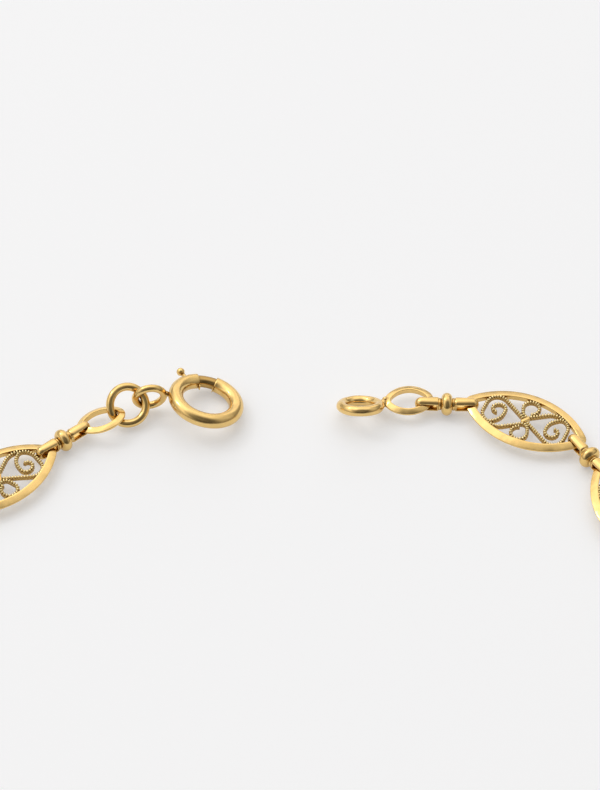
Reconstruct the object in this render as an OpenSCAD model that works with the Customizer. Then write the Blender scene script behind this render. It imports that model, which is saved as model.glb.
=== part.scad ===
// Antique gold filigree chain necklace, unclasped and laid out on a flat surface as one loop.
// Millimetres, +Z up. The origin is under the middle of the whole necklace, on the surface.
// The far side of the loop, with the two open ends, points to +Y.

/* [Filigree links] */
// Number of filigree links in the necklace
link_count = 18; // [16:1:19]
// Overall length of a filigree link
link_length = 17.2; // [16.8:0.1:17.6]
// Overall width of a filigree link
link_width = 9; // [8.8:0.1:9.2]
// Outer radius of a filigree link's rounded tip
link_tip = 1.3; // [1.2:0.05:1.4]
// Width of the rim, seen from above
rim_width = 1.05; // [1:0.01:1.1]
// Height of the rim
rim_height = 0.8; // [0.7:0.05:0.85]
// Thickness of the scrolled ribbon
ribbon_thick = 0.33; // [0.28:0.01:0.36]
// Height of the scrolled ribbon, standing on edge
ribbon_height = 0.7; // [0.5:0.05:0.75]

/* [Connectors] */
// Largest diameter of the turned collar in the middle
collar_diameter = 3.06; // [2.9:0.02:3.2]
// Thickness of the collar
collar_width = 1.38; // [1.2:0.02:1.5]
// Distance from the middle of a connector to the far end of its loops
loop_reach = 4.25; // [4.2:0.05:4.4]
// Distance from the middle of a connector to the near end of its loops
loop_root = 1; // [0.9:0.05:1.1]
// Width of the loops' strap
strap_width = 1.1; // [1:0.05:1.2]
// Thickness of the loops' strap
strap_thick = 0.4; // [0.35:0.01:0.42]
// Height of the loops, outside
loop_height = 1.88; // [1.75:0.01:1.9]

/* [Plain ovals] */
// Length of the two plain oval links
oval_length = 6.6; // [6.4:0.1:6.8]
// Width of the plain oval links
oval_width = 4.9; // [4.7:0.1:5.1]
// Outer radius of the plain ovals' ends
oval_tip = 1.6; // [1.5:0.05:1.7]
// Width of the plain ovals' rim
oval_rim = 0.86; // [0.85:0.01:1]

/* [Round rings] */
// Radius of the end ring, to the middle of its wire
end_ring_radius = 2.49; // [2.4:0.01:2.6]
// Diameter of the end ring's wire
end_ring_wire = 1.4; // [1.3:0.05:1.45]
// Radius of the split jump ring, to the middle of its wire
jump_radius = 2.42; // [2.4:0.01:2.43]
// Diameter of the jump ring's wire
jump_wire = 1.1; // [1:0.01:1.12]
// Width of the slit where the jump ring was closed, in degrees
jump_slit = 5; // [3:1:8]
// Radius of the small ring soldered to the clasp, to the middle of its wire
small_radius = 1.88; // [1.87:0.005:1.9]
// Diameter of the small ring's wire
small_wire = 1; // [0.9:0.01:1.02]

/* [Bolt ring clasp] */
// Radius of the clasp, to the middle of its tube
clasp_radius = 4.1; // [4.05:0.01:4.15]
// Outer diameter of the clasp's tube
clasp_tube = 2; // [1.95:0.01:2.05]
// Bore of the clasp's tube
clasp_bore = 1.74; // [1.72:0.01:1.76]
// Diameter of the sliding bolt
bolt_diameter = 1.58; // [1.54:0.01:1.6]
// Travel of the bolt round the clasp, in degrees
bolt_travel = 38; // [34:1:38]
// Diameter of the ball knob that slides the bolt
knob_diameter = 1.1; // [1:0.05:1.2]

/* [Lie of the two open ends] */
// First filigree link: across, away, heading
first_link = [29.72, -5.81, -25.5]; // [-60:0.01:60]
// First connector, between the end piece and the first link: across, away, heading
first_connector = [19.45, -2.87, -1.5]; // [-60:0.01:60]
// Second connector, where the visible part stops: across, away, heading
second_connector = [37.9, -11.9, -55]; // [-60:0.01:60]
// Heading of the second filigree link, the first one out of the photo
second_heading = -63; // [-70:1:-56]
// Last filigree link: across, away, heading
last_link = [-39.1, -15.6, 36]; // [-60:0.01:60]
// Last connector, between the last link and the plain oval: across, away, heading
last_connector = [-31.1, -9.06, 38]; // [-60:0.01:60]
// Roll of the last connector about its own length, within the play of its loops
last_roll = -7; // [-7:0.01:7]
// Oval of the end piece: across, away, heading
end_oval = [14.42, -2.25, 6]; // [-60:0.01:60]
// Middle of the end ring
end_ring_at = [7.99, -3.63, 2.08]; // [-10:0.01:10]
// Lean of the end ring: degrees from level, and the side it leans towards
end_ring_turn = [33.7, 90]; // [-180:0.1:180]
// Middle of the plain oval
oval_at = [-26.22, -5.783, 1.751]; // [-40:0.001:10]
// Roll, pitch and heading of the plain oval
oval_turn = [-11.67, -8.87, 16.33]; // [-90:0.01:90]
// Middle of the jump ring
jump_at = [-22.706, -3.876, 2.603]; // [-40:0.001:10]
// Lean of the jump ring: degrees from level, and the side it leans towards
jump_turn = [36.76, -60.8]; // [-180:0.01:180]
// How far each of its two quarters next to the slit is folded out of level
jump_fold = [-16.2602, -16.2602]; // [-40:0.0001:40]
// Where the slit is on the jump ring
jump_slit_at = 308.5; // [0:0.1:360]
// Middle of the small ring
small_at = [-19.9, -2.723, 2.871]; // [-40:0.001:10]
// Lean of the small ring: degrees from level, and the side it leans towards
small_turn = [94.02, -80.2]; // [-180:0.01:180]
// Middle of the clasp
clasp_at = [-12.436, -3.004, 2.345]; // [-40:0.001:10]
// Lean of the clasp: degrees from level, and the side it leans towards
clasp_turn = [18.86, 39.6]; // [-180:0.01:180]
// Turn of the clasp in its own plane
clasp_spin = -52.06; // [-180:0.01:180]

/* [Hidden] */
$fn = 64;
gold = [0.83, 0.66, 0.31];

// Rim section: a flat lip inside, a broad bevel, and a short upright edge outside
rim_lip = 0.2;
rim_edge = 0.25;
link_a = link_length / 2;
link_b = link_width / 2;
oval_a = oval_length / 2;
oval_b = oval_width / 2;
// Height of the middle of every chain piece, set by the collars that rest on the surface
axis_height = collar_diameter / 2;

// Scrolls of a filigree link, as rows of radius and amount: radius 0 is a straight run
// with its length, any other radius is a bend with its angle, to the left if positive.
scroll_heading = 149;
scroll_rows = [
    [0, 4.2],
    [1.45, 121],
    [0, 1.42],
    [1.75, 60],
    [0.75, 70],
    [0, 0.45],
    [2, 50],
    [0, 0.45],
    [0.88, 180],
    [0.6, 110]
];
hook_start = [0.23, 1.227, 15];
hook_rows = [
    [1.08, 275],
    [0, 0.8],
    [0.8, 105],
    [0, 2.4],
    [-1.9, 38],
    [0, 0.9]
];
// Largest bend in one facet of a ribbon
ribbon_step = 20;
band_length = 0.5;
band_width = 1.3;
band_height = 0.9;

// Connector details
core_radius = 0.55;
core_back = 1.05;
core_front = 1.3;
// Small rings beside the collar: distance along, half width, radius
side_rings = [
    [-0.92, 0.2, 0.78],
    [0.87, 0.17, 0.8],
    [1.2, 0.16, 0.72]
];
strap_dome = 0.12;
loop_corner = 0.6;
loop_run = loop_reach - loop_root - 2 * loop_corner;
loop_rise = loop_height - 2 * loop_corner;

// Solder lumps of the end piece, as places and radii
end_solder = [
    [[10.99, -2.75, 1.5], 0.6],
    [[11.25, -2.1, 1.55], 0.4]
];

// Clasp details, in degrees round the clasp and millimetres across its tube
gap_from = 84.6;
gap_to = 119.9;
slot_from = 130.1;
slot_to = 179.1;
slot_width = 0.8;
lug_angle = 1.4;
lug_drop = 1.5;
lug_root = 0.92;
lug_height = 0.7;
bolt_from = 81.6;
bolt_to = 160;
knob_angle = 135.6;
knob_out = 6.3;
stem_diameter = 0.56;
small_solder_radius = 0.42;
small_solder_at = [-17.7, -2.44, 3.14];

// Geometry of an oval made of four arcs that meet smoothly
function reach(a, tip) = a - tip;
function side_radius(a, b, tip) = (pow(reach(a, tip), 2) + b * b - tip * tip) / (2 * (b - tip));
function meet(a, b, tip) = atan2(side_radius(a, b, tip) - b, reach(a, tip));

// Half extent of such an oval in a direction
function folded(angle) = acos(abs(cos(angle)));
function extent_at(a, b, tip, angle) = angle < meet(a, b, tip)
    ? reach(a, tip) * cos(angle) + tip
    : side_radius(a, b, tip) - (side_radius(a, b, tip) - b) * sin(angle);
function link_extent(angle) = extent_at(link_a, link_b, link_tip, folded(angle));

// The hidden stretch: every connector bends by the mean bend plus two slow waves, and the
// size of the waves is solved so that the loop closes on the last link.
hidden_bends = link_count - 2;
// Where a rim bears in a loop: along the link and along the connector, from their middles
link_hold = 8;
loop_hold = 2.42;
wave_step = 360 / hidden_bends;
mean_bend = (second_heading - last_link[2] + 360) / hidden_bends;
function along(angle, length) = length * [cos(angle), sin(angle)];
function flat(p) = [p[0], p[1]];
function bend(k, wave) = mean_bend
    + wave[0] * cos(wave_step * (k - 0.5))
    + wave[1] * sin(wave_step * (k - 0.5));
function heading(k, wave) = k == 0
    ? second_heading
    : heading(k - 1, wave) - bend(k, wave);
function joint_heading(k, wave) = (heading(k, wave) + heading(k + 1, wave)) / 2;
function joint_middle(k, wave) = link_middle(k, wave)
    + along(heading(k, wave), link_hold)
    + along(joint_heading(k, wave), loop_hold);
function link_middle(k, wave) = k == 0
    ? flat(second_connector) + along(second_connector[2], loop_hold) + along(second_heading, link_hold)
    : joint_middle(k - 1, wave)
        + along(joint_heading(k - 1, wave), loop_hold)
        + along(heading(k, wave), link_hold);
function miss(wave) = link_middle(hidden_bends, wave) - flat(last_link);
// Newton's method in two unknowns, with slopes taken over a small step
slope_step = 0.01;
function better(wave) =
    let (
        here = miss(wave),
        first = (miss(wave + [slope_step, 0]) - here) / slope_step,
        second = (miss(wave + [0, slope_step]) - here) / slope_step,
        area = first[0] * second[1] - first[1] * second[0]
    )
    wave - [
        here[0] * second[1] - here[1] * second[0],
        first[0] * here[1] - first[1] * here[0]
    ] / area;
function solved(wave, rounds) = rounds == 0 ? wave : solved(better(wave), rounds - 1);
wave = solved([0, 0], 6);

// Every link and connector as across, away, heading
link_places = concat(
    [first_link],
    [
        for (k = [0:hidden_bends])
            concat(link_middle(k, wave), [heading(k, wave)])
    ]
);
connector_places = concat(
    [first_connector, second_connector],
    [
        for (k = [0:hidden_bends - 1])
            concat(joint_middle(k, wave), [joint_heading(k, wave)])
    ],
    [last_connector]
);

// Outline of the whole necklace, for the origin: the links reach furthest on three sides
// and the ball knob of the clasp on the fourth.
east = max([for (p = link_places) p[0] + link_extent(p[2])]);
west = min([for (p = link_places) p[0] - link_extent(p[2])]);
south = min([for (p = link_places) p[1] - link_extent(90 - p[2])]);
knob_swing = clasp_spin + knob_angle;
knob_north = knob_out * (
    cos(knob_swing) * cos(clasp_turn[0]) * sin(clasp_turn[1])
    + sin(knob_swing) * cos(clasp_turn[1])
);
north = clasp_at[1] + knob_north + knob_diameter / 2;
origin = [(east + west) / 2, (north + south) / 2, 0];

// A ribbon's middle line, as across, away, heading
function bend_points(row, at, count) = [
    for (k = [1:count])
        let (turned = at[2] + sign(row[0]) * row[1] * k / count)
        [
            at[0] + row[0] * (sin(turned) - sin(at[2])),
            at[1] - row[0] * (cos(turned) - cos(at[2])),
            turned
        ]
];
function row_points(row, at) = row[0] == 0
    ? [[at[0] + row[1] * cos(at[2]), at[1] + row[1] * sin(at[2]), at[2]]]
    : bend_points(row, at, ceil(row[1] / ribbon_step));
function path_from(rows, at, i) = i == len(rows)
    ? []
    : let (points = row_points(rows[i], at))
        concat(points, path_from(rows, points[len(points) - 1], i + 1));
function ribbon_path(rows, at) = concat([at], path_from(rows, at, 0));
function beside(p, offset) = [p[0] - offset * sin(p[2]), p[1] + offset * cos(p[2])];

link_names = [for (i = [1:link_count]) str("filigree_link_", i)];
connector_names = [for (i = [1:link_count + 1]) str("connector_", i)];

module place(at, turn, spin = 0) {
    translate(at - origin)
        rotate(turn)
            rotate([0, 0, spin])
                children();
}

module place_flat(p) {
    place([p[0], p[1], axis_height], [0, 0, p[2]])
        children();
}

module lean(at, turn, spin = 0) {
    place(at, [0, turn[0], turn[1]], spin)
        children();
}

// Section of a bevelled rim whose outer edge has the given radius
module rim_section(radius, width) {
    polygon([
        [radius, -rim_edge / 2],
        [radius, rim_edge / 2],
        [radius - width + rim_lip, rim_height / 2],
        [radius - width, rim_height / 2],
        [radius - width, -rim_height / 2],
        [radius - width + rim_lip, -rim_height / 2]
    ]);
}

// Bevelled rim round an oval of four arcs
module rim(a, b, tip, width) {
    side = side_radius(a, b, tip);
    turn = meet(a, b, tip);
    for (half = [0, 180]) {
        rotate([0, 0, half]) {
            translate([reach(a, tip), 0, 0])
                rotate_extrude(start = -turn, angle = 2 * turn)
                    rim_section(tip, width);
            for (start = [turn, 90]) {
                translate([0, b - side, 0])
                    rotate_extrude(start = start, angle = 90 - turn)
                        rim_section(side, width);
            }
        }
    }
}

module ribbon(rows, at) {
    path = ribbon_path(rows, at);
    last = len(path) - 1;
    linear_extrude(height = ribbon_height, center = true)
        polygon(concat(
            [for (p = path) beside(p, ribbon_thick / 2)],
            [for (i = [last:-1:0]) beside(path[i], -ribbon_thick / 2)]
        ));
}

module filigree_link(p) {
    color(gold)
        place_flat(p) {
            rim(link_a, link_b, link_tip, rim_width);
            for (half = [0, 180]) {
                rotate([0, 0, half]) {
                    ribbon(scroll_rows, [0, 0, scroll_heading]);
                    ribbon(hook_rows, hook_start);
                }
            }
            rotate([0, 0, scroll_heading])
                cube([band_length, band_width, band_height], center = true);
        }
}

// A disc with a fully rounded rim, from its middle plane
module rounded_disc(radius, half_width) {
    square([radius - half_width, half_width * 2]);
    translate([radius - half_width, half_width])
        circle(half_width);
}

// Section of the strap, with its domed side at the loop's corner radius
module strap_section() {
    inner = loop_corner - strap_thick;
    polygon([
        [inner, -strap_width / 2],
        [inner, strap_width / 2],
        [loop_corner - strap_dome, strap_width / 2],
        [loop_corner, strap_width / 4],
        [loop_corner, -strap_width / 4],
        [loop_corner - strap_dome, -strap_width / 2]
    ]);
}

module strap_bend(from) {
    rotate_extrude(start = from, angle = 90)
        strap_section();
}

// Straight run of strap that ends where a bend with the same start begins
module strap_run(from, length) {
    rotate([0, 0, from])
        rotate([90, 0, 0])
            linear_extrude(height = length)
                strap_section();
}

// Upright loop of domed strap at one end of a connector: four straight runs and four bends,
// made flat and then stood up
module strap_loop() {
    far = loop_reach - loop_corner;
    near = loop_root + loop_corner;
    high = loop_rise / 2;
    rotate([90, 0, 0]) {
        translate([far, high, 0])
            strap_bend(0);
        translate([near, high, 0])
            strap_bend(90);
        translate([near, -high, 0])
            strap_bend(180);
        translate([far, -high, 0])
            strap_bend(270);
        translate([near, high, 0])
            strap_run(90, loop_run);
        translate([near, -high, 0])
            strap_run(180, loop_rise);
        translate([far, -high, 0])
            strap_run(270, loop_run);
        translate([far, high, 0])
            strap_run(0, loop_rise);
    }
}

// Every connector but the last stands level
function connector_roll(i) = i > link_count ? last_roll : 0;

module connector(i) {
    p = connector_places[i - 1];
    color(gold)
        place([p[0], p[1], axis_height], [connector_roll(i), 0, p[2]]) {
            rotate([0, 90, 0])
                rotate_extrude() {
                    translate([0, -core_back])
                        square([core_radius, core_back + core_front]);
                    translate([0, -collar_width / 2])
                        rounded_disc(collar_diameter / 2, collar_width / 2);
                    for (ring = side_rings) {
                        translate([0, ring[0] - ring[1]])
                            rounded_disc(ring[2], ring[1]);
                    }
                }
            for (end = [0, 180]) {
                rotate([0, 0, end])
                    strap_loop();
            }
        }
}

module end_piece() {
    color(gold) {
        place_flat(end_oval)
            rim(oval_a, oval_b, oval_tip, oval_rim);
        lean(end_ring_at, end_ring_turn)
            rotate_extrude()
                translate([end_ring_radius, 0])
                    circle(d = end_ring_wire);
        for (lump = end_solder) {
            place(lump[0], [0, 0, 0])
                sphere(lump[1]);
        }
    }
}

module plain_oval() {
    color(gold)
        place(oval_at, oval_turn)
            rim(oval_a, oval_b, oval_tip, oval_rim);
}

module jump_arc(start, sweep) {
    rotate_extrude(start = start, angle = sweep)
        translate([jump_radius, 0])
            circle(d = jump_wire);
}

// A quarter that is folded about the ring's tangent at its end, where the wire stays smooth
module folded_arc(start, sweep, fold) {
    translate([jump_radius, 0, 0])
        rotate([0, fold, 0])
            translate([-jump_radius, 0, 0])
                jump_arc(start, sweep);
}

// The jump ring was opened and closed by hand: the half away from the slit is level in its
// own plane, and a quarter at each side of the slit is folded out of it.
module jump_ring() {
    quarter = 90 - jump_slit / 2;
    color(gold)
        lean(jump_at, jump_turn, jump_slit_at - 90) {
            jump_arc(180, 90);
            jump_arc(270, 90);
            folded_arc(0, quarter, jump_fold[0]);
            rotate([0, 0, 180])
                folded_arc(-quarter, quarter, jump_fold[1]);
        }
}

module clasp_tube() {
    rotate_extrude(start = gap_to, angle = 360 - gap_to + gap_from)
        translate([clasp_radius, 0])
            difference() {
                circle(d = clasp_tube);
                circle(d = clasp_bore);
            }
}

module clasp_slot() {
    rotate_extrude(start = slot_from, angle = slot_to - slot_from)
        translate([clasp_radius, -slot_width / 2])
            square([clasp_tube, slot_width]);
}

// Small lugs on the inner side of the tube, at both edges of the gap
module clasp_lugs() {
    for (edge = [gap_from - lug_angle, gap_to]) {
        rotate_extrude(start = edge, angle = lug_angle)
            translate([clasp_radius - lug_drop, -lug_height / 2])
                square([lug_drop - lug_root, lug_height]);
    }
}

module clasp_ring() {
    color(gold) {
        lean(clasp_at, clasp_turn, clasp_spin) {
            difference() {
                clasp_tube();
                clasp_slot();
            }
            clasp_lugs();
        }
        lean(small_at, small_turn)
            rotate_extrude()
                translate([small_radius, 0])
                    circle(d = small_wire);
        place(small_solder_at, [0, 0, 0])
            sphere(small_solder_radius);
    }
}

module clasp_bolt() {
    color(gold)
        lean(clasp_at, clasp_turn, clasp_spin) {
            rotate_extrude(start = bolt_from, angle = bolt_to - bolt_from)
                translate([clasp_radius, 0])
                    circle(d = bolt_diameter);
            rotate([0, 0, knob_angle]) {
                translate([clasp_radius, 0, 0])
                    rotate([0, 90, 0])
                        cylinder(d = stem_diameter, h = knob_out - clasp_radius);
                translate([knob_out, 0, 0])
                    sphere(d = knob_diameter);
            }
        }
}

for (i = [1:link_count]) {
    filigree_link(link_places[i - 1]);
}
for (i = [1:link_count + 1]) {
    connector(i);
}
end_piece();
plain_oval();
jump_ring();
clasp_ring();
clasp_bolt();
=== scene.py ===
import math
import random

import bpy
import numpy as np
from mathutils import Matrix, Vector


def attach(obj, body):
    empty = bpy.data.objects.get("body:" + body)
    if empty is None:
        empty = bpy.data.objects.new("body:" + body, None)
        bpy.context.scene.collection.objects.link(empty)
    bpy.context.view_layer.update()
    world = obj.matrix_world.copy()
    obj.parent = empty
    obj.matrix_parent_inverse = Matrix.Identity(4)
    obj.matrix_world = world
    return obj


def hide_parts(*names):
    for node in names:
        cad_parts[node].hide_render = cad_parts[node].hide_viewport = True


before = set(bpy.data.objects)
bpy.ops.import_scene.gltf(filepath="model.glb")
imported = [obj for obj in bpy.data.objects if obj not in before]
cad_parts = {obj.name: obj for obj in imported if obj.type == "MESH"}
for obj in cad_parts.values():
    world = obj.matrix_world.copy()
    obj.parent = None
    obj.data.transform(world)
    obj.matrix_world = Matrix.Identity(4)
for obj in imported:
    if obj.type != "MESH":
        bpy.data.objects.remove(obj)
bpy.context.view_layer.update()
rng = random.Random(7)

# Sizes and places are in millimetres and degrees, as in the part's source
MM = 0.001

# Chain: a place on the surface is x, y and heading
LINKS = 18
AXIS_HEIGHT = 1.53
FIRST_LINK = (29.72, -5.81, -25.5)
FIRST_CONNECTOR = (19.45, -2.87, -1.5)
SECOND_CONNECTOR = (37.9, -11.9, -55.0)
SECOND_HEADING = -63.0
LAST_LINK = (-39.1, -15.6, 36.0)
LAST_CONNECTOR = (-31.1, -9.06, 38.0)
LAST_ROLL = -7
# from the middle of a link, and of a connector, to the place where the two hold each other
LINK_HOLD = 8.0
CONNECTOR_HOLD = 2.42

# Ovals: half length, half width and radius of the tips
LINK_OVAL = (8.6, 4.5, 1.3)
SMALL_OVAL = (3.3, 2.45, 1.6)
LINK_RIM_WIDTH = 1.05
SMALL_RIM_WIDTH = 0.86
RIM_HEIGHT = 0.8
RIM_LIP = 0.2
RIM_EDGE = 0.25
LINK_RIM_ROUNDING = 0.05
SMALL_RIM_ROUNDING = 0.07
RIM_TIP_STEPS = 16
LINK_SIDE_STEPS = 44
SMALL_SIDE_STEPS = 24

# Ribbons: rows of radius and sweep, or of nought and length where the ribbon is straight.
# A radius below nought bends to the right.
SCROLL = [(0, 4.2), (1.45, 121), (0, 1.42), (1.75, 60), (0.75, 70), (0, 0.45), (2, 50), (0, 0.45),
          (0.88, 180), (0.6, 110)]
SCROLL_HEADING = 149
HOOK = [(1.08, 275), (0, 0.8), (0.8, 105), (0, 2.4), (-1.9, 38), (0, 0.9)]
HOOK_START = (0.23, 1.227)
HOOK_HEADING = 15
STRAIGHT_STEP = 0.6
BEND_STEP = 10.0
RIBBON_HALF = 0.18
RIBBON_LOW, RIBBON_HIGH = -0.38, 0.12
RIBBON_ROUNDING = 0.05
# beads: half length along the ribbon, half width and half height
BEAD = (0.165, 0.29, 0.25)
BEAD_PITCH = 0.38
BEAD_HEIGHT = 0.17
# share of its size by which one bead differs from the next
BEAD_SPREAD = 0.08

# Band that clamps the ribbons: half sizes across and up, places along it and their scales
BAND_HALF_WIDTH = 0.65
BAND_HALF_HEIGHT = 0.43
BAND_ROUNDING = 0.12
BAND_STATIONS = ((-0.25, 0.86), (-0.2, 1), (0.2, 1), (0.25, 0.86))

# Connector: core, and rings as place along it, half width and radius
CORE_RADIUS = 0.58
CORE_FROM, CORE_TO = -1.05, 1.3
TURNED_SIDES = 40
TURNED = [(0.0, 0.74, 1.53), (-0.94, 0.2, 0.84), (0.9, 0.18, 0.86), (1.2, 0.16, 0.76)]
# a ring of more than this half width gets more stations
WIDE_RING = 0.5
# strap loop: half width and thickness of the strap, far and near end, half height, radii of its bends
STRAP_HALF = 0.66
STRAP_THICK = 0.44
STRAP_REACH = 4.25
STRAP_ROOT = 0.86
STRAP_TALL = 0.94
STRAP_BEND = 0.88
STRAP_ROOT_BEND = 0.47
# share of the thickness that is domed, how far the dome stands proud, and cut at its inner edges
STRAP_DOME = 0.92
STRAP_PROUD = 0.035
STRAP_EDGE = 0.05
# scale of the width at the near end, and what it loses towards the far end
STRAP_ROOT_SCALE = 1.06
STRAP_NARROWING = 0.2

# Rings: middle radius and wire; places are a point, then the lean and the heading
END_OVAL = (14.42, -2.25, 6.0)
END_RING_AT, END_RING_TURN = (7.99, -3.63, 2.08), (33.7, 90.0)
END_RING_RADIUS, END_RING_WIRE = 2.49, 1.4
END_RING_WOBBLE = 0.012
END_SOLDER = (((10.99, -2.75, 1.5), 0.58), ((11.25, -2.1, 1.55), 0.39))
PLAIN_OVAL_AT, PLAIN_OVAL_TURN = (-26.22, -5.783, 1.751), (-11.67, -8.87, 16.33)
JUMP_AT, JUMP_TURN, JUMP_SLIT = (-22.706, -3.876, 2.603), (36.76, -60.8), 308.5
JUMP_RADIUS, JUMP_WIRE = 2.42, 1.1
JUMP_GAP = 5.0
# turn of the folded quarter at each side of the slit
JUMP_FOLDS = {1: -16.2602, -1: 16.2602}
JUMP_ROUNDING = 0.05
JUMP_WOBBLE = 0.004
WIRE_SIDES = 28
SMALL_AT, SMALL_TURN = (-19.9, -2.723, 2.871), (94.02, -80.2)
SMALL_RADIUS, SMALL_WIRE = 1.88, 1.0
SOLDER_AT = (-17.7, -2.44, 3.14)
SOLDER_RADIUS = 0.41
# share of the radius by which solder is uneven, and the turn of its waves over one radius, in radians
SOLDER_UNEVEN = 0.05
SOLDER_WAVES = (2.45, 1.05, 1.75)

# Clasp: hollow tube with a gap and a slot for the knob, and the bolt inside it
CLASP_AT, CLASP_TURN, CLASP_SPIN = (-12.436, -3.004, 2.345), (18.86, 39.6), -52.06
TUBE_RADIUS = 4.1
TUBE_OUTER, TUBE_INNER = 1.0, 0.87
GAP_FROM, GAP_TO = 84.6, 119.9
SLOT_FROM, SLOT_TO = 130.1, 179.1
SLOT_HALF = 0.4
# numbers that differ by less are the same
SAME = 1e-6
LUG_FROM, LUG_TO = -1.5, -0.9
LUG_HALF = 0.35
LUG_SWEEP = 1.4
LUG_ROUNDING = 0.08
BOLT_WIRE = 1.58
BOLT_FROM, BOLT_SWEEP = 81.6, 78.4
BOLT_ROUNDING = 0.12
STEM_RADIUS = 0.28
STEM_STATIONS = (4.5, 5.2, 5.9)
STEM_SIDES = 16
KNOB_OUT, KNOB_ANGLE, KNOB_D = 6.3, 135.6, 1.1

# Painted light: 0 is plain metal, 1 all in the dark painted shade tone, and below 0 is a painted
# highlight
# painted shade on the ribbons' walls and lower beads, the shade between the beads
RIBBON_PAINTED_SHADE = 0.58
# painted shade on the bolt's tube, which lies inside the clasp
BOLT_PAINTED_SHADE = 0.6
# painted highlight on the tops of the upper beads
BEAD_TOP_PAINTED_HIGHLIGHT = -0.9
BEAD_TOP_FROM = 0.1

# Camera, as fitted to the photo of 600 by 790 pixels
PICTURE_HEIGHT = 790
FOCAL_PIXELS = 3600
SENSOR = 36.0
CAMERA_ELEVATION = 50
CAMERA_METRES = 0.48


# Places
def rad(angle):
    return math.radians(angle)


def unit(angle):
    """Step of length one in a direction on the surface."""
    return np.array([math.cos(rad(angle)), math.sin(rad(angle))])


def rot(x=0.0, y=0.0, z=0.0):
    """The turn of OpenSCAD's rotate([x, y, z])."""
    return (Matrix.Rotation(rad(z), 4, "Z") @ Matrix.Rotation(rad(y), 4, "Y")
            @ Matrix.Rotation(rad(x), 4, "X"))


def hidden_stretch():
    """Places of the links after the first and of the connectors between them.

    Each bend is the mean one and a wave. The wave's two amplitudes bring the last link to its place.
    """
    bends = LINKS - 2
    mean = (SECOND_HEADING - LAST_LINK[2] + 360) / bends

    def run(wave):
        heading = SECOND_HEADING
        start = np.array(SECOND_CONNECTOR[:2])
        p = start + CONNECTOR_HOLD * unit(SECOND_CONNECTOR[2]) + LINK_HOLD * unit(heading)
        links, connectors = [(p[0], p[1], heading)], []
        for k in range(1, bends + 1):
            t = rad(360 / bends * (k - 0.5))
            following = heading - (mean + wave[0] * math.cos(t) + wave[1] * math.sin(t))
            middle = (heading + following) / 2
            c = p + LINK_HOLD * unit(heading) + CONNECTOR_HOLD * unit(middle)
            connectors.append((c[0], c[1], middle))
            p = c + CONNECTOR_HOLD * unit(middle) + LINK_HOLD * unit(following)
            links.append((p[0], p[1], following))
            heading = following
        return links, connectors

    def miss(wave):
        return np.array(run(wave)[0][-1][:2]) - np.array(LAST_LINK[:2])

    wave = np.zeros(2)
    step = 0.01
    for _ in range(6):
        off = miss(wave)
        change = [(miss(wave + d) - off) / step for d in np.eye(2) * step]
        wave = wave - np.linalg.solve(np.stack(change, 1), off)
    return run(wave)


def arcs(a, b, tip):
    """Reach of the tips' centres, radius of the sides and angle where tip and side meet."""
    reach = a - tip
    side = (reach ** 2 + b * b - tip * tip) / (2 * (b - tip))
    return reach, side, math.atan2(side - b, reach)


def extent(angle):
    """Half the room that a link takes in the direction at this angle to its own length."""
    reach, side, meet = arcs(*LINK_OVAL)
    half_width, tip = LINK_OVAL[1:]
    f = math.acos(min(1, abs(math.cos(rad(angle)))))
    if f < meet:
        return reach * math.cos(f) + tip
    return side - (side - half_width) * math.sin(f)


def middle_of_part():
    """Middle of the necklace's outline, which is the frame's origin."""
    swing = rad(CLASP_SPIN + KNOB_ANGLE)
    lean_angle, heading = (rad(a) for a in CLASP_TURN)
    knob_north = KNOB_OUT * (math.cos(swing) * math.cos(lean_angle) * math.sin(heading)
                             + math.sin(swing) * math.cos(heading))
    east = max(p[0] + extent(p[2]) for p in LINK_PLACES)
    west = min(p[0] - extent(p[2]) for p in LINK_PLACES)
    south = min(p[1] - extent(90 - p[2]) for p in LINK_PLACES)
    north = CLASP_AT[1] + knob_north + KNOB_D / 2
    return Vector(((east + west) / 2, (north + south) / 2, 0))


hidden_links, hidden_connectors = hidden_stretch()
LINK_PLACES = [FIRST_LINK] + hidden_links
CONNECTOR_PLACES = [FIRST_CONNECTOR, SECOND_CONNECTOR] + hidden_connectors + [LAST_CONNECTOR]
ORIGIN = middle_of_part()


def place(at, turn, spin=0.0):
    """Matrix from a piece's own millimetres to the frame's millimetres."""
    return (Matrix.Translation(Vector(at) - ORIGIN) @ rot(*turn)
            @ Matrix.Rotation(rad(spin), 4, "Z"))


def flat(p, roll=0):
    """Matrix of a piece that lies at the chain's height."""
    return place((p[0], p[1], AXIS_HEIGHT), (roll, 0, p[2]))


def lean(at, turn, spin=0.0):
    """Matrix of a ring that leans and then turns."""
    return place(at, (0, turn[0], turn[1]), spin)


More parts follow.
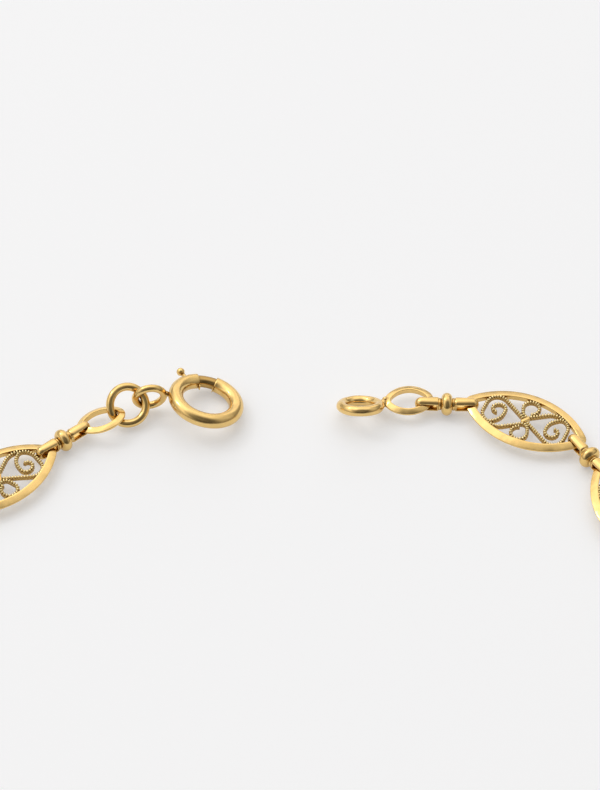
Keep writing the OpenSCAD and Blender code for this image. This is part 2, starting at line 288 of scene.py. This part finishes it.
# Meshes
class Build:
    """Collects points and faces, in millimetres, with the painted light of each point: painted shade
    above nought, painted highlight below.
    """

    def __init__(self):
        self.points, self.faces, self.patina, self.count = [], [], [], 0

    def add(self, points, faces, patina=0.0):
        """Adds points and faces; the painted light is one number or one for each point."""
        points = np.asarray(points, float)
        self.points.append(points)
        self.patina.append(np.broadcast_to(patina, len(points)))
        self.faces.extend([tuple(i + self.count for i in face) for face in faces])
        self.count += len(points)

    def grid(self, rings, closed=True, patina=0.0):
        """Skin over equal rings of points. It closes on its first ring, or gets flat ends."""
        rings = np.asarray(rings, float)
        count, sides = rings.shape[:2]
        faces = []
        for i in range(count if closed else count - 1):
            for j in range(sides):
                here, after = i * sides, (i + 1) % count * sides
                k = (j + 1) % sides
                faces.append((here + j, after + j, after + k, here + k))
        if not closed:
            faces.append(tuple(range(sides)))
            faces.append(tuple((count - 1) * sides + j for j in reversed(range(sides))))
        self.add(rings.reshape(-1, 3), faces, patina)

    def join(self, other, matrix):
        """Adds another build, moved by a matrix."""
        points = np.vstack(other.points) @ np.array(matrix.to_3x3()).T + np.array(matrix.translation)
        self.add(points, other.faces, np.concatenate(other.patina))

    def mesh(self, name):
        """The mesh in metres."""
        m = bpy.data.meshes.new(name)
        m.from_pydata((np.vstack(self.points) * MM).tolist(), [], self.faces)
        # each point's painted light: painted shade above nought, painted highlight below
        stored = m.attributes.new("patina", "FLOAT", "POINT")
        stored.data.foreach_set("value", np.concatenate(self.patina))
        m.validate()
        m.update()
        m.shade_smooth()
        return m


def rounded(outline, radius, steps=3):
    """Outline with its corners rounded."""
    out = []
    n = len(outline)
    # an arc takes at most this share of a side
    share = 0.45
    for i in range(n):
        corner, before, after = (np.array(outline[j % n], float) for j in (i, i - 1, i + 1))
        to_before, to_after = before - corner, after - corner
        la, lb = np.linalg.norm(to_before), np.linalg.norm(to_after)
        to_before, to_after = to_before / la, to_after / lb
        half = math.acos(max(-1, min(1, float(to_before @ to_after)))) / 2
        cut = min(radius / math.tan(half), la * share, lb * share)
        r = cut * math.tan(half)
        inward = (to_before + to_after) / np.linalg.norm(to_before + to_after)
        centre = corner + inward * (r / math.sin(half))
        s, e = corner + to_before * cut - centre, corner + to_after * cut - centre
        t0, t1 = math.atan2(s[1], s[0]), math.atan2(e[1], e[0])
        sweep = (t1 - t0 + math.pi) % (2 * math.pi) - math.pi
        for q in range(steps + 1):
            t = t0 + sweep * q / steps
            out.append(centre + r * np.array([math.cos(t), math.sin(t)]))
    return out


def box_outline(x0, x1, y0, y1):
    """Corners of a rectangle, for a section."""
    return [(x0, y0), (x1, y0), (x1, y1), (x0, y1)]


def oval_stations(oval, side_steps):
    """Centre x and y, radius and angle of each station round an oval of four arcs."""
    half_width, tip = oval[1:]
    reach, side, meet = arcs(*oval)
    out = []
    for half in (0, math.pi):
        c, s = math.cos(half), math.sin(half)
        for k in range(RIM_TIP_STEPS):
            out.append((reach * c, reach * s, tip, half - meet + 2 * meet * k / RIM_TIP_STEPS))
        centre = half_width - side
        for k in range(side_steps):
            angle = half + meet + (math.pi - 2 * meet) * k / side_steps
            out.append((-centre * s, centre * c, side, angle))
    return out


def add_rim(build, oval, width, rounding, side_steps):
    """Oval rim with a flat lip inside and a bevel that thins to the outer edge."""
    slope = width - RIM_LIP
    upper, edge = RIM_HEIGHT / 2, RIM_EDGE / 2
    section = rounded([(0, -edge), (0, edge), (slope, upper), (width, upper),
                       (width, -upper), (slope, -upper)], rounding)
    rings = []
    for cx, cy, r, t in oval_stations(oval, side_steps):
        rings.append([(cx + (r - d) * math.cos(t), cy + (r - d) * math.sin(t), z) for d, z in section])
    build.grid(rings)


def path(rows, at, heading):
    """Points on a ribbon's middle line, as x, y and heading."""
    x, y, h = at[0], at[1], heading
    out = [(x, y, h)]
    for radius, amount in rows:
        if radius == 0:
            n = max(1, int(amount / STRAIGHT_STEP))
            for _ in range(n):
                x, y = x + amount / n * math.cos(rad(h)), y + amount / n * math.sin(rad(h))
                out.append((x, y, h))
        else:
            n = max(2, math.ceil(amount / BEND_STEP))
            x0, y0, h0 = x, y, h
            for k in range(1, n + 1):
                a = h0 + math.copysign(amount, radius) * k / n
                out.append((x0 + radius * (math.sin(rad(a)) - math.sin(rad(h0))),
                            y0 - radius * (math.cos(rad(a)) - math.cos(rad(h0))), a))
            x, y, h = out[-1]
    return out


def along(points, pitch):
    """Evenly spaced places on a path, as x, y and heading."""
    p = np.array(points)
    length = np.r_[0, np.cumsum(np.hypot(*np.diff(p[:, :2], axis=0).T))]
    n = int(length[-1] / pitch)
    t = (np.arange(n) + 0.5) * length[-1] / n
    return np.stack([np.interp(t, length, p[:, i]) for i in range(3)], 1)


def ball(radius, around, down):
    """Sphere as points and faces, with its poles above and below."""
    points, faces = [(0, 0, radius)], []
    for i in range(1, down):
        t = math.pi * i / down
        for j in range(around):
            p = 2 * math.pi * (j + 0.5 * (i % 2)) / around
            points.append((radius * math.sin(t) * math.cos(p), radius * math.sin(t) * math.sin(p),
                           radius * math.cos(t)))
    points.append((0, 0, -radius))
    last = 1 + (down - 2) * around
    for j in range(around):
        k = (j + 1) % around
        faces.append((0, 1 + j, 1 + k))
        faces.append((len(points) - 1, last + k, last + j))
    for i in range(down - 2):
        for j in range(around):
            a, b = 1 + i * around + j, 1 + i * around + (j + 1) % around
            faces.append((a, a + around, b + around, b))
    return np.array(points), faces


def add_ribbon(build, points, turn):
    """Ribbon on edge, turned about the link's middle, with beads milled on both its edges."""
    c, s = math.cos(turn), math.sin(turn)
    section = rounded(box_outline(-RIBBON_HALF, RIBBON_HALF, RIBBON_LOW, RIBBON_HIGH), RIBBON_ROUNDING, 2)
    rings = []
    for x, y, h in points:
        nx, ny = -math.sin(rad(h)), math.cos(rad(h))
        ring = []
        for across, z in section:
            px, py = x + across * nx, y + across * ny
            ring.append((c * px - s * py, s * px + c * py, z))
        rings.append(ring)
    # the ribbon's walls are painted in shade, the shade in the gaps between the beads
    build.grid(rings, closed=False, patina=RIBBON_PAINTED_SHADE)
    top, top_faces = ball(1.0, around=8, down=6)
    low, low_faces = ball(1.0, around=5, down=3)
    # the top halves of the upper beads get a painted highlight, the rest painted shade
    shade = np.where(top[:, 2] > BEAD_TOP_FROM, BEAD_TOP_PAINTED_HIGHLIGHT, RIBBON_PAINTED_SHADE)
    for x, y, h in along(points, BEAD_PITCH):
        x, y = c * x - s * y, s * x + c * y
        k = 1 + BEAD_SPREAD * (rng.random() - 0.5)
        t = rad(h) + turn
        u, n = np.array([math.cos(t), math.sin(t), 0]), np.array([-math.sin(t), math.cos(t), 0])
        size = np.stack([u * BEAD[0] * k, n * BEAD[1] * k, np.array([0, 0, BEAD[2]])])
        build.add(top @ size + (x, y, BEAD_HEIGHT), top_faces, shade)
        # the lower beads are painted in the same shade
        build.add(low @ size + (x, y, -BEAD_HEIGHT), low_faces, RIBBON_PAINTED_SHADE)


def add_band(build):
    """Band that clamps the ribbons at the link's middle."""
    u, n = unit(SCROLL_HEADING), unit(SCROLL_HEADING + 90)
    section = rounded(box_outline(-BAND_HALF_WIDTH, BAND_HALF_WIDTH, -BAND_HALF_HEIGHT, BAND_HALF_HEIGHT),
                      BAND_ROUNDING)
    rings = []
    for d, k in BAND_STATIONS:
        rings.append([tuple(u * d + n * (w * k)) + (z * k,) for w, z in section])
    build.grid(rings, closed=False)


def link_mesh():
    """Filigree link: rim, two scrolls, two hooks and the band."""
    build = Build()
    add_rim(build, LINK_OVAL, LINK_RIM_WIDTH, LINK_RIM_ROUNDING, LINK_SIDE_STEPS)
    for turn in (0, math.pi):
        add_ribbon(build, path(SCROLL, (0, 0), SCROLL_HEADING), turn)
        add_ribbon(build, path(HOOK, HOOK_START, HOOK_HEADING), turn)
    add_band(build)
    return build


def ticks(sides):
    """Even angles round a wire, in radians."""
    return [2 * math.pi * j / sides for j in range(sides)]


def turned_radius(x):
    """Radius of the turned middle of a connector."""
    r = CORE_RADIUS if CORE_FROM <= x <= CORE_TO else 0.0
    for centre, half, top in TURNED:
        if abs(x - centre) < half:
            r = max(r, top - half + math.sqrt(half * half - (x - centre) ** 2))
    return r


def add_turned_middle(build):
    """Collar and its small rings, as one turned form."""
    # stations stay just inside each ring's edge, and the ends close on a very small radius
    inside = 0.9999
    closing = 0.001
    xs = set()
    for centre, half, _ in TURNED:
        n = 15 if half > WIDE_RING else 9
        for k in range(n):
            xs.add(round(centre - inside * half * math.cos(math.pi * k / (n - 1)), 5))
    xs = sorted(xs)
    profile = [(xs[0], closing)] + [(x, turned_radius(x)) for x in xs] + [(xs[-1], closing)]
    rings = []
    for x, r in profile:
        rings.append([(x, r * math.cos(t), r * math.sin(t)) for t in ticks(TURNED_SIDES)])
    build.grid(rings, closed=False)


def add_strap(build, end):
    """Domed strap bent to a loop, at the end 1 or -1 of a connector."""
    # section: inward from the outside of the loop, and across the strap
    dome = np.linspace(-math.pi / 2, math.pi / 2, 17)
    section = [(STRAP_THICK * (1 - STRAP_DOME * math.cos(t)) - STRAP_PROUD, STRAP_HALF * math.sin(t))
               for t in dome]
    section += [(STRAP_THICK, STRAP_HALF - STRAP_EDGE), (STRAP_THICK, STRAP_EDGE - STRAP_HALF)]
    far_corner = (STRAP_REACH - STRAP_BEND, STRAP_BEND)
    near_corner = (STRAP_ROOT + STRAP_ROOT_BEND, STRAP_ROOT_BEND)
    steps = 10
    rings = []
    for k, (cx, r) in enumerate((far_corner, near_corner, near_corner, far_corner)):
        cz = (STRAP_TALL - r) * (1 if k < 2 else -1)
        for q in range(steps + 1):
            t = math.pi / 2 * (k + q / steps)
            far = (cx + r * math.cos(t) - STRAP_ROOT) / (STRAP_REACH - STRAP_ROOT)
            scale = STRAP_ROOT_SCALE - STRAP_NARROWING * far * far
            rings.append([(end * (cx + (r - d) * math.cos(t)), end * w * scale,
                           cz + (r - d) * math.sin(t)) for d, w in section])
    build.grid(rings)


def connector_mesh():
    """Connector: turned middle with a strap loop at each end."""
    build = Build()
    add_turned_middle(build)
    add_strap(build, 1)
    add_strap(build, -1)
    return build


def wire_ring(radius, wire_radius, angle, turns):
    """Points round the wire of a ring, at one angle of the ring."""
    c, s = math.cos(rad(angle)), math.sin(rad(angle))
    out = []
    for t in turns:
        d = radius + wire_radius * math.cos(t)
        out.append((d * c, d * s, wire_radius * math.sin(t)))
    return out


def cut_wire(start, sweep, radius, wire_radius, rounding, steps):
    """Angles and wire radii of a part ring, with a little less wire at both cut faces."""
    e = math.degrees(rounding / radius)
    near = 0.3
    full = [(start + e + (sweep - 2 * e) * k / steps, wire_radius) for k in range(steps + 1)]
    first = [(start, wire_radius - rounding), (start + e * near, wire_radius - rounding * near)]
    last = [(start + sweep - e * near, wire_radius - rounding * near),
            (start + sweep, wire_radius - rounding)]
    return first + full + last


def ring_build(radius, wire, steps, sides, wobble=0.0):
    """Closed ring of round wire, slightly uneven where wobble is given."""
    rings = []
    for k in range(steps):
        a = 360 * k / steps
        # two waves, five and eight to the round
        scale = 1 + wobble * (math.sin(rad(a * 5 + 40)) + 0.7 * math.sin(rad(a * 8)))
        rings.append(wire_ring(radius, wire / 2 * scale, a, ticks(sides)))
    build = Build()
    build.grid(rings)
    return build


def rim_build():
    """Rim of the two small ovals."""
    build = Build()
    add_rim(build, SMALL_OVAL, SMALL_RIM_WIDTH, SMALL_RIM_ROUNDING, SMALL_SIDE_STEPS)
    return build


def add_solder(build, at, radius):
    """Uneven bead of solder."""
    points, faces = ball(radius, around=20, down=14)
    scale = 1 + SOLDER_UNEVEN * np.sin(points @ np.array(SOLDER_WAVES) / radius)
    build.add(points * scale[:, None] + at, faces)


def end_piece_mesh(base):
    """Plain oval, round ring and solder in one, about the end oval's middle."""
    own = base.inverted()
    build = Build()
    build.join(rim_build(), own @ flat(END_OVAL))
    ring = ring_build(END_RING_RADIUS, END_RING_WIRE, steps=120, sides=32, wobble=END_RING_WOBBLE)
    build.join(ring, own @ lean(END_RING_AT, END_RING_TURN))
    for at, radius in END_SOLDER:
        add_solder(build, np.array(at) - (END_OVAL[0], END_OVAL[1], AXIS_HEIGHT), radius)
    return build


def jump_ring_mesh():
    """Open ring of wire: a half in its own plane and a folded quarter at each side of the slit."""
    stations = []
    first, sweep = 90 + JUMP_GAP / 2, 360 - JUMP_GAP
    for a, r in cut_wire(first, sweep, JUMP_RADIUS, JUMP_WIRE / 2, JUMP_ROUNDING, steps=129):
        scale = 1 + JUMP_WOBBLE * math.sin(rad(a * 5))
        ring = wire_ring(JUMP_RADIUS, r * scale, a, ticks(WIRE_SIDES))
        side = 1 if a > 360 else -1 if a < 180 else 0
        if side:
            fold = rot(y=JUMP_FOLDS[side])
            about = Vector((side * JUMP_RADIUS, 0, 0))
            ring = [tuple(fold @ (Vector(p) - about) + about) for p in ring]
        stations.append(ring)
    build = Build()
    build.grid(stations, closed=False)
    return build


def slot_ticks(radius, sides, lines):
    """Angles round the tube, in radians, with an edge of the slot this many lines from the first."""
    half = math.asin(SLOT_HALF / radius)
    even = ticks(sides)
    edge = even[lines]
    out = []
    for j in range(sides):
        t = even[j] if j <= sides // 2 else even[j] - 2 * math.pi
        if abs(t) <= edge + SAME:
            t = t / edge * half
        else:
            t = math.copysign(half + (abs(t) - edge) * (math.pi - half) / (math.pi - edge), t)
        out.append(t)
    return out


def add_clasp_tube(build):
    """Hollow tube with a slot: the same grid outside and inside, joined at its edges."""
    sides, lines = 32, 2
    end = GAP_FROM + 360
    angles = set(np.linspace(GAP_TO, SLOT_FROM, 6))
    angles |= set(np.linspace(SLOT_FROM, SLOT_TO, 22))
    angles |= set(np.linspace(SLOT_TO, end, 90))
    angles = sorted(angles)
    n = len(angles)
    points = []
    for radius in (TUBE_OUTER, TUBE_INNER):
        turns = slot_ticks(radius, sides, lines)
        points += [p for a in angles for p in wire_ring(TUBE_RADIUS, radius, a, turns)]
    # the points of the inside follow those of the outside
    inner = n * sides
    slot_sides = set(range(sides - lines, sides)) | set(range(lines))
    in_slot = [i for i in range(n) if SLOT_FROM - SAME <= angles[i] <= SLOT_TO + SAME]

    def wall(a, b, flip):
        """Face between the outside and the inside."""
        face = (a, b, inner + b, inner + a)
        return face[::-1] if flip else face

    faces = []
    for i in range(n - 1):
        for j in range(sides):
            if i in in_slot[:-1] and j in slot_sides:
                continue
            a, b = i * sides + j, i * sides + (j + 1) % sides
            c, d = b + sides, a + sides
            faces.append((a, d, c, b))
            faces.append((inner + a, inner + b, inner + c, inner + d))
    for i, flip in ((0, False), (n - 1, True)):
        for j in range(sides):
            faces.append(wall(i * sides + j, i * sides + (j + 1) % sides, flip))
    for i in in_slot[:-1]:
        for j, flip in ((lines, False), (sides - lines, True)):
            faces.append(wall(i * sides + j, (i + 1) * sides + j, flip))
    for i, flip in ((in_slot[0], True), (in_slot[-1], False)):
        for j in sorted(slot_sides):
            faces.append(wall(i * sides + j, i * sides + (j + 1) % sides, flip))
    build.add(points, faces)


def add_lugs(build):
    """Small lugs at the inner side of both edges of the gap."""
    section = rounded(box_outline(LUG_FROM, LUG_TO, -LUG_HALF, LUG_HALF), LUG_ROUNDING, 2)
    for start in (GAP_FROM - LUG_SWEEP, GAP_TO):
        rings = []
        for a in (start, start + LUG_SWEEP / 2, start + LUG_SWEEP):
            c, s = unit(a)
            rings.append([((TUBE_RADIUS + d) * c, (TUBE_RADIUS + d) * s, z) for d, z in section])
        build.grid(rings, closed=False)


def clasp_mesh(base):
    """Tube with lugs, its small ring and the solder between them."""
    own = base.inverted()
    build = Build()
    add_clasp_tube(build)
    add_lugs(build)
    build.join(ring_build(SMALL_RADIUS, SMALL_WIRE, steps=80, sides=24), own @ lean(SMALL_AT, SMALL_TURN))
    solder = (own @ place(SOLDER_AT, (0, 0, 0))).translation
    add_solder(build, np.array(solder), SOLDER_RADIUS)
    return build


def bolt_mesh():
    """Bolt in the tube, with its stem and knob."""
    stations = cut_wire(BOLT_FROM, BOLT_SWEEP, TUBE_RADIUS, BOLT_WIRE / 2, BOLT_ROUNDING, steps=60)
    build = Build()
    rings = [wire_ring(TUBE_RADIUS, r, a, ticks(WIRE_SIDES)) for a, r in stations]
    # the bolt's tube, seen in the clasp's gap, is painted in shade; stem and knob stay plain
    build.grid(rings, closed=False, patina=BOLT_PAINTED_SHADE)
    c, s = unit(KNOB_ANGLE)
    stem = []
    for d in STEM_STATIONS:
        stem.append([(d * c - STEM_RADIUS * math.cos(t) * s, d * s + STEM_RADIUS * math.cos(t) * c,
                      STEM_RADIUS * math.sin(t)) for t in ticks(STEM_SIDES)])
    build.grid(stem, closed=False)
    points, faces = ball(KNOB_D / 2, around=28, down=18)
    build.add(points + (KNOB_OUT * c, KNOB_OUT * s, 0), faces)
    return build


# Shader nodes, for the gold and for the studio
def noise(tree, vector, scale, detail):
    """Value of a noise texture."""
    node = tree.nodes.new("ShaderNodeTexNoise")
    node.inputs["Scale"].default_value = scale
    node.inputs["Detail"].default_value = detail
    tree.links.new(vector, node.inputs["Vector"])
    return node.outputs["Fac"]


def spread(tree, value, start, end, low=0.0, high=1.0, smooth=False):
    """Maps the range from start to end to the range from low to high."""
    node = tree.nodes.new("ShaderNodeMapRange")
    for key, number in (("From Min", start), ("From Max", end), ("To Min", low), ("To Max", high)):
        node.inputs[key].default_value = number
    if smooth:
        node.interpolation_type = "SMOOTHSTEP"
    tree.links.new(value, node.inputs["Value"])
    return node.outputs["Result"]


def combine(tree, operation, a, b, clamp=False):
    """Math node; a and b are sockets or plain numbers."""
    node = tree.nodes.new("ShaderNodeMath")
    node.operation = operation
    node.use_clamp = clamp
    for socket, value in zip(node.inputs, (a, b)):
        if isinstance(value, float):
            socket.default_value = value
        else:
            tree.links.new(value, socket)
    return node.outputs["Value"]


def blend(tree, factor, a, b, clamp=True):
    """Colour between a and b; a and b are sockets or plain colours."""
    node = tree.nodes.new("ShaderNodeMix")
    node.data_type = "RGBA"
    node.clamp_factor = clamp
    for key, value in (("A", a), ("B", b)):
        if isinstance(value, tuple):
            node.inputs[key].default_value = value
        else:
            tree.links.new(value, node.inputs[key])
    tree.links.new(factor, node.inputs["Factor"])
    return node.outputs["Result"]


# Gold, with painted shade in its recesses that is partly patina, and painted shade or highlight where the
# mesh stores painted light
YELLOW_GOLD = (0.86, 0.592, 0.225, 1)
PALE_GOLD = (0.87, 0.6, 0.235, 1)
# colour of the painted highlight on the bead tops
HIGHLIGHT_GOLD = (1.0, 0.84, 0.45, 1)
# dark tones of the painted shade, which in recesses is partly patina
SHADE_AND_PATINA_GOLD = (0.3, 0.16, 0.035, 1)
FILIGREE_SHADE_AND_PATINA = (0.3, 0.16, 0.025, 1)
# noise scales, in cells a metre, and depth of the dents in metres
TONE_SCALE = 900.0
WEAR_SCALE = 2600.0
DENT_SCALE = 600.0
DENT_DEPTH = 0.0001
# middle stretch of a noise, and the scales of tone and roughness that it is mapped to
NOISE_LOW, NOISE_HIGH = 0.3, 0.7
TONE_LOW, TONE_HIGH = 0.92, 1.04
WEAR_LOW, WEAR_HIGH = 0.9, 1.12
RECESS_SAMPLES = 6
FLATS_WEIGHT = 60


def gold_material(name, base, deep, rough, grain=0.3, reach=0.0006, open_from=0.25, open_to=0.9):
    """Gold with a slow change of tone, worn roughness and soft dents of strength grain.

    Recesses are looked for within reach and painted in shade, partly as patina. From open_from to open_to
    they turn from deep to base.
    """
    mat = bpy.data.materials.new(name)
    mat.use_nodes = True
    tree = mat.node_tree
    tree.nodes.clear()
    out = tree.nodes.new("ShaderNodeOutputMaterial")
    shader = tree.nodes.new("ShaderNodeBsdfPrincipled")
    shader.inputs["Metallic"].default_value = 1.0
    tree.links.new(shader.outputs["BSDF"], out.inputs["Surface"])
    coords = tree.nodes.new("ShaderNodeTexCoord").outputs["Object"]

    # colour: open surfaces in the base tone; recesses, in painted shade that is partly patina, and the
    # mesh's painted shade in the deep one
    # occlusion finds recesses, which are painted in shade that is partly patina
    recess = tree.nodes.new("ShaderNodeAmbientOcclusion")
    recess.samples = RECESS_SAMPLES
    recess.inputs["Distance"].default_value = reach
    opened = spread(tree, recess.outputs["AO"], open_from, open_to)
    painted_light_input = tree.nodes.new("ShaderNodeAttribute")
    painted_light_input.attribute_name = "patina"
    unshaded = combine(tree, "SUBTRACT", 1.0, painted_light_input.outputs["Fac"])
    metal = blend(tree, combine(tree, "MULTIPLY", unshaded, opened), deep, base)
    # a painted light value below nought is a painted highlight
    painted_highlight = combine(tree, "MULTIPLY", painted_light_input.outputs["Fac"], -1.0, clamp=True)
    toned = tree.nodes.new("ShaderNodeHueSaturation")
    tree.links.new(blend(tree, painted_highlight, metal, HIGHLIGHT_GOLD), toned.inputs["Color"])
    patches = noise(tree, coords, TONE_SCALE, detail=3.0)
    tone = spread(tree, patches, NOISE_LOW, NOISE_HIGH, TONE_LOW, TONE_HIGH)
    tree.links.new(tone, toned.inputs["Value"])
    tree.links.new(toned.outputs["Color"], shader.inputs["Base Color"])

    # wear: roughness changes with a finer noise
    rubs = noise(tree, coords, WEAR_SCALE, detail=4.0)
    wear = spread(tree, rubs, NOISE_LOW, NOISE_HIGH, rough * WEAR_LOW, rough * WEAR_HIGH)
    tree.links.new(wear, shader.inputs["Roughness"])
    dents = tree.nodes.new("ShaderNodeBump")
    dents.inputs["Strength"].default_value = grain
    dents.inputs["Distance"].default_value = DENT_DEPTH
    tree.links.new(noise(tree, coords, DENT_SCALE, detail=1.0), dents.inputs["Height"])
    tree.links.new(dents.outputs["Normal"], shader.inputs["Normal"])
    return mat


GOLD = gold_material("gold", YELLOW_GOLD, SHADE_AND_PATINA_GOLD, rough=0.13)
SATIN = gold_material("satin gold", YELLOW_GOLD, SHADE_AND_PATINA_GOLD, rough=0.19)
DENTED = gold_material("dented gold", PALE_GOLD, SHADE_AND_PATINA_GOLD, rough=0.15, grain=0.9)
FILIGREE = gold_material("filigree gold", YELLOW_GOLD, FILIGREE_SHADE_AND_PATINA, rough=0.16, grain=0.6,
                         reach=0.0005, open_from=0.1, open_to=0.65)


# Pieces
def piece(name, mesh, matrix, material, node, body="necklace", bake=False, flats=True):
    """Object that stands for a node. Bake turns the mesh itself; flats keeps flat faces flat."""
    o = bpy.data.objects.new(name, mesh)
    bpy.context.scene.collection.objects.link(o)
    turn = matrix.to_3x3().to_4x4()
    shift = Matrix.Translation(matrix.translation * MM)
    if bake:
        mesh.transform(turn)
        o.location = shift.translation
    else:
        o.matrix_world = shift @ turn
    if not mesh.materials:
        mesh.materials.append(material)
    if flats:
        o.modifiers.new("normals", "WEIGHTED_NORMAL").weight = FLATS_WEIGHT
    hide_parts(node)
    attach(o, body)
    return o


link_data = link_mesh().mesh("filigree link")
for i, p in enumerate(LINK_PLACES, 1):
    piece(f"filigree_link_{i}_detail", link_data, flat(p), FILIGREE, f"filigree_link_{i}")

connector_data = connector_mesh().mesh("connector")
for i, p in enumerate(CONNECTOR_PLACES, 1):
    roll = LAST_ROLL if i > LINKS else 0
    piece(f"connector_{i}_detail", connector_data, flat(p, roll), GOLD, f"connector_{i}", flats=False)

end_base = place((END_OVAL[0], END_OVAL[1], AXIS_HEIGHT), (0, 0, 0))
piece("end_piece_detail", end_piece_mesh(end_base).mesh("end piece"), end_base, DENTED, "end_piece",
      bake=True)

oval_base = place(PLAIN_OVAL_AT, PLAIN_OVAL_TURN)
piece("plain_oval_detail", rim_build().mesh("plain oval"), oval_base, GOLD, "plain_oval", bake=True)

jump_base = lean(JUMP_AT, JUMP_TURN, JUMP_SLIT - 90)
piece("jump_ring_detail", jump_ring_mesh().mesh("jump ring"), jump_base, GOLD, "jump_ring", bake=True)

clasp_base = lean(CLASP_AT, CLASP_TURN, CLASP_SPIN)
piece("clasp_detail", clasp_mesh(clasp_base).mesh("clasp"), clasp_base, SATIN, "clasp_ring", bake=True)
piece("bolt_detail", bolt_mesh().mesh("bolt"), clasp_base, GOLD, "clasp_bolt", "bolt", bake=True)

# Stage, light and camera, in metres
TARGET = Vector((-ORIGIN.x, -ORIGIN.y, 0)) * MM
FLOOR_SIZE = 6.0
FLOOR_COLOUR = (0.68, 0.69, 0.706, 1)
FLOOR_ROUGH = 0.55
GLOW_COLOUR = (1, 1.015, 1.025, 1)
GLOW = 0.312
STUDIO = 1.02
STUDIO_COLOUR = (1.03, 1.0, 0.97, 1)
BLACK = (0, 0, 0, 1)


def make_floor():
    """Plain pale floor that glows a little, so that its shadows stay light."""
    mat = bpy.data.materials.new("pale floor")
    mat.use_nodes = True
    shader = mat.node_tree.nodes["Principled BSDF"]
    shader.inputs["Base Color"].default_value = FLOOR_COLOUR
    shader.inputs["Emission Color"].default_value = GLOW_COLOUR
    shader.inputs["Emission Strength"].default_value = GLOW
    shader.inputs["Roughness"].default_value = FLOOR_ROUGH
    bpy.ops.mesh.primitive_plane_add(size=FLOOR_SIZE, location=(0, 0, 0))
    floor = bpy.context.object
    floor.name = "floor"
    floor.data.materials.append(mat)


def look_along(o, direction):
    """Turns a light or camera to look in a direction."""
    o.rotation_mode = "QUATERNION"
    o.rotation_quaternion = direction.to_track_quat("-Z", "Y")


def area(name, at, size, power, colour=(1, 1, 1)):
    """Area light that looks at the target."""
    lamp = bpy.data.lights.new(name, "AREA")
    lamp.shape = "RECTANGLE"
    lamp.size, lamp.size_y = size
    lamp.energy = power
    lamp.color = colour
    o = bpy.data.objects.new(name, lamp)
    bpy.context.scene.collection.objects.link(o)
    o.location = TARGET + Vector(at)
    look_along(o, TARGET - o.location)


def make_studio():
    """World that is dark behind the camera, brighter on the left and overhead, and uneven all round."""
    world = bpy.data.worlds.new("studio")
    bpy.context.scene.world = world
    world.use_nodes = True
    tree = world.node_tree
    tree.nodes.clear()
    out = tree.nodes.new("ShaderNodeOutputWorld")
    background = tree.nodes.new("ShaderNodeBackground")
    background.inputs["Strength"].default_value = STUDIO
    tree.links.new(background.outputs["Background"], out.inputs["Surface"])
    coords = tree.nodes.new("ShaderNodeTexCoord").outputs["Generated"]

    def toward(direction, start, end, low, high):
        """Brightness that changes with the cosine of the angle to one direction."""
        dot = tree.nodes.new("ShaderNodeVectorMath")
        dot.operation = "DOT_PRODUCT"
        dot.inputs[1].default_value = direction
        tree.links.new(coords, dot.inputs[0])
        return spread(tree, dot.outputs["Value"], start, end, low, high, smooth=True)

    behind = toward((0.1, -0.71, 0.694), start=0.45, end=0.93, low=1.0, high=0.16)
    left = toward((-0.85, 0.2, 0.49), start=-0.7, end=0.7, low=0.64, high=1.08)
    height = toward((0.0, 0.0, 1.0), start=0.05, end=0.8, low=0.42, high=1.2)
    cloud = noise(tree, coords, scale=2.2, detail=1.0)
    uneven = spread(tree, cloud, start=0.35, end=0.65, low=0.8, high=1.15)
    sides = combine(tree, "MULTIPLY", behind, left)
    upward = combine(tree, "MULTIPLY", height, uneven)
    bright = combine(tree, "MULTIPLY", sides, upward)
    tree.links.new(blend(tree, bright, BLACK, STUDIO_COLOUR, clamp=False), background.inputs["Color"])


def make_camera():
    """Camera at the photo's viewing angle."""
    data = bpy.data.cameras.new("camera")
    camera = bpy.data.objects.new("camera", data)
    bpy.context.scene.collection.objects.link(camera)
    bpy.context.scene.camera = camera
    data.sensor_width = SENSOR
    data.lens = SENSOR * FOCAL_PIXELS / PICTURE_HEIGHT
    back = Vector((0, -math.cos(rad(CAMERA_ELEVATION)), math.sin(rad(CAMERA_ELEVATION))))
    camera.location = TARGET + back * CAMERA_METRES
    look_along(camera, -back)
    data.clip_start, data.clip_end = 0.01, 10


make_floor()
area("overhead softbox", at=(-0.5, 0.5, 1.1), size=(1.2, 0.9), power=0.9, colour=(0.97, 1.0, 1.08))
area("far softbox", at=(0.1, 1.4, 0.42), size=(1.6, 0.6), power=1.7, colour=(1.0, 0.95, 0.95))
area("left lamp", at=(-0.8, 0.5, 1.0), size=(0.22, 0.22), power=1.2)
make_studio()
make_camera()
bpy.context.scene.view_settings.view_transform = "Standard"
